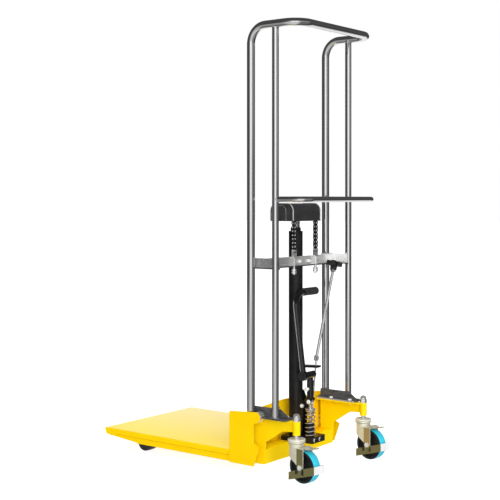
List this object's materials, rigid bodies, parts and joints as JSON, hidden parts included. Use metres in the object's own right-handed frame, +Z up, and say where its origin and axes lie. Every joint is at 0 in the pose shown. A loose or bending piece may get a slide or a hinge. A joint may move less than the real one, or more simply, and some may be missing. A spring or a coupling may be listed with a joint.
{
  "type": "hydraulic stacker",
  "caption": "Hand-pumped hydraulic platform stacker with a chrome tube mast, chain lift, yellow platform and braked swivel casters",
  "frame": {"origin": "centre of the bounding box's footprint, on the floor", "axes": "+X to the operator's right, +Y from the mast towards the platform's nose, +Z up"},
  "size_m": [0.582, 1.114, 1.786],
  "materials": {
    "yellow_paint": "gloss",
    "chrome": "polished",
    "grey_steel": "satin",
    "bright_steel": "satin",
    "black_paint": "satin",
    "chain_steel": "satin",
    "black_rubber": "matte",
    "black_plastic": "matte",
    "zinc_plate": "satin",
    "blue_tyre": "matte",
    "nylon": "matte"
  },
  "bodies": {
    "base": {"rear_crossbeam": "yellow_paint", "left_leg": "yellow_paint", "right_leg": "yellow_paint", "left_caster_arm": "yellow_paint", "right_caster_arm": "yellow_paint", "mast_feet": "grey_steel", "mast_loop": "chrome", "rear_posts": "chrome", "hand_loop": "chrome", "chain_crossbar": "grey_steel", "cylinder_clamp": "bright_steel", "chain_anchors": "bright_steel", "frame_bolts": "bright_steel", "pump_block": "black_paint", "cylinder_tube": "black_paint", "cylinder_gland": "bright_steel", "cylinder_brackets": "black_paint", "pump_barrel": "black_paint", "caster_stems": "bright_steel", "caster_races": "grey_steel"},
    "ram": {"ram_rod": "chrome", "crosshead": "chain_steel", "chain_cover": "black_paint", "chain_wraps": "chain_steel", "rear_chains": "chain_steel"},
    "carriage": {"left_cheek": "yellow_paint", "right_cheek": "yellow_paint", "left_fork": "yellow_paint", "right_fork": "yellow_paint", "carriage_plate": "yellow_paint", "platform_tray": "yellow_paint", "roller_pins": "yellow_paint", "chain_lugs": "grey_steel", "front_chains": "chain_steel"},
    "rear_wheel_set": {"rear_chain_wheels": "chain_steel"},
    "front_wheel_set": {"front_chain_wheels": "chain_steel"},
    "upper_rollers": {"upper_guide_rollers": "chrome"},
    "lower_rollers": {"lower_guide_rollers": "chrome"},
    "left_load_wheel": {"left_load_roller": "nylon"},
    "right_load_wheel": {"right_load_roller": "nylon"},
    "pump_lever": {"lever_socket": "black_paint", "lever_handle": "black_paint", "lever_grip": "black_rubber"},
    "lever_nose_roller": {"lever_roller": "bright_steel"},
    "plunger": {"pump_plunger": "bright_steel", "pump_spring": "bright_steel"},
    "knob_set": {"release_knob": "black_plastic", "knob_rod": "bright_steel"},
    "valve_stem": {"valve_rod": "bright_steel"},
    "left_caster": {"left_caster_fork": "zinc_plate", "left_toe_guard": "zinc_plate"},
    "left_wheel": {"left_caster_tyre": "blue_tyre", "left_caster_hub": "black_plastic"},
    "left_brake": {"left_brake_pedal": "zinc_plate"},
    "right_caster": {"right_caster_fork": "zinc_plate", "right_toe_guard": "zinc_plate"},
    "right_wheel": {"right_caster_tyre": "blue_tyre", "right_caster_hub": "black_plastic"},
    "right_brake": {"right_brake_pedal": "zinc_plate"}
  },
  "joints": [
    {"name": "ram_lift", "type": "slide", "parent": "base", "child": "ram", "axis": [0, 0, 1], "range_m": [0, 0.706], "deforming": ["rear_chains"]},
    {"name": "carriage_lift", "type": "slide", "parent": "ram", "child": "carriage", "axis": [0, 0, 1], "range_m": [0, 0.706], "deforming": ["front_chains"]},
    {"name": "rear_wheel_spin", "type": "hinge", "parent": "ram", "child": "rear_wheel_set", "pos_m": [0, -0.288, 1.028], "axis": [1, 0, 0], "range_deg": [-1, 2024]},
    {"name": "front_wheel_spin", "type": "hinge", "parent": "ram", "child": "front_wheel_set", "pos_m": [0, -0.236, 1.028], "axis": [1, 0, 0], "range_deg": [-1, 2024]},
    {"name": "upper_roller_spin", "type": "hinge", "parent": "carriage", "child": "upper_rollers", "pos_m": [0, -0.2713, 0.229], "axis": [1, 0, 0], "range_deg": [-3678, 1]},
    {"name": "lower_roller_spin", "type": "hinge", "parent": "carriage", "child": "lower_rollers", "pos_m": [0, -0.1947, 0.12], "axis": [1, 0, 0], "range_deg": [-1, 3678]},
    {"name": "left_load_roller_spin", "type": "hinge", "parent": "base", "child": "left_load_wheel", "pos_m": [-0.215, 0.367, 0.039], "axis": [1, 0, 0], "continuous": true},
    {"name": "right_load_roller_spin", "type": "hinge", "parent": "base", "child": "right_load_wheel", "pos_m": [0.215, 0.367, 0.039], "axis": [1, 0, 0], "continuous": true},
    {"name": "pump_lever", "type": "hinge", "parent": "base", "child": "pump_lever", "pos_m": [0, -0.307, 0.24], "axis": [1, 0, 0], "range_deg": [0, 50], "stiffness_Nm_per_rad": 6, "springref_deg": -28.65},
    {"name": "lever_roller_spin", "type": "hinge", "parent": "pump_lever", "child": "lever_nose_roller", "pos_m": [0, -0.335, 0.258], "axis": [1, 0, 0], "continuous": true},
    {"name": "plunger_slide", "type": "slide", "parent": "base", "child": "plunger", "axis": [0, 0, -1], "range_m": [0, 0.02839], "deforming": ["pump_spring"]},
    {"name": "knob_turn", "type": "hinge", "parent": "base", "child": "knob_set", "pos_m": [0.0465, -0.333, 0.4305], "axis": [0.2678, -0.0461, 0.9624], "range_deg": [0, 90]},
    {"name": "valve_turn", "type": "hinge", "parent": "base", "child": "valve_stem", "pos_m": [0.0465, -0.333, 0.4305], "axis": [0.027, -0.0763, 0.9967], "range_deg": [0, 90]},
    {"name": "left_caster_swivel", "type": "hinge", "parent": "base", "child": "left_caster", "pos_m": [-0.244, -0.438, 0.133], "axis": [0, 0, 1], "continuous": true},
    {"name": "left_caster_wheel_spin", "type": "hinge", "parent": "left_caster", "child": "left_wheel", "pos_m": [-0.24924, -0.48068, 0.0625], "axis": [0.9925, -0.1219, 0], "continuous": true},
    {"name": "left_brake_press", "type": "hinge", "parent": "left_caster", "child": "left_brake", "pos_m": [-0.25005, -0.48723, 0.137], "axis": [0.9925, -0.1219, 0], "range_deg": [0, 8]},
    {"name": "right_caster_swivel", "type": "hinge", "parent": "base", "child": "right_caster", "pos_m": [0.244, -0.438, 0.133], "axis": [0, 0, 1], "continuous": true},
    {"name": "right_caster_wheel_spin", "type": "hinge", "parent": "right_caster", "child": "right_wheel", "pos_m": [0.23876, -0.48068, 0.0625], "axis": [0.9925, -0.1219, 0], "continuous": true},
    {"name": "right_brake_press", "type": "hinge", "parent": "right_caster", "child": "right_brake", "pos_m": [0.23795, -0.48723, 0.137], "axis": [0.9925, -0.1219, 0], "range_deg": [0, 8]}
  ],
  "couplings": [
    {"joint": "carriage_lift", "follows": "ram_lift", "ratio": 1},
    {"joint": "rear_wheel_spin", "follows": "ram_lift", "rad_per_m": 50},
    {"joint": "front_wheel_spin", "follows": "ram_lift", "rad_per_m": 50},
    {"joint": "upper_roller_spin", "follows": "ram_lift", "rad_per_m": -90.909},
    {"joint": "lower_roller_spin", "follows": "ram_lift", "rad_per_m": 90.909},
    {"joint": "plunger_slide", "follows": "pump_lever", "m_per_rad": 0.0323},
    {"joint": "valve_turn", "follows": "knob_turn", "ratio": 1}
  ]
}
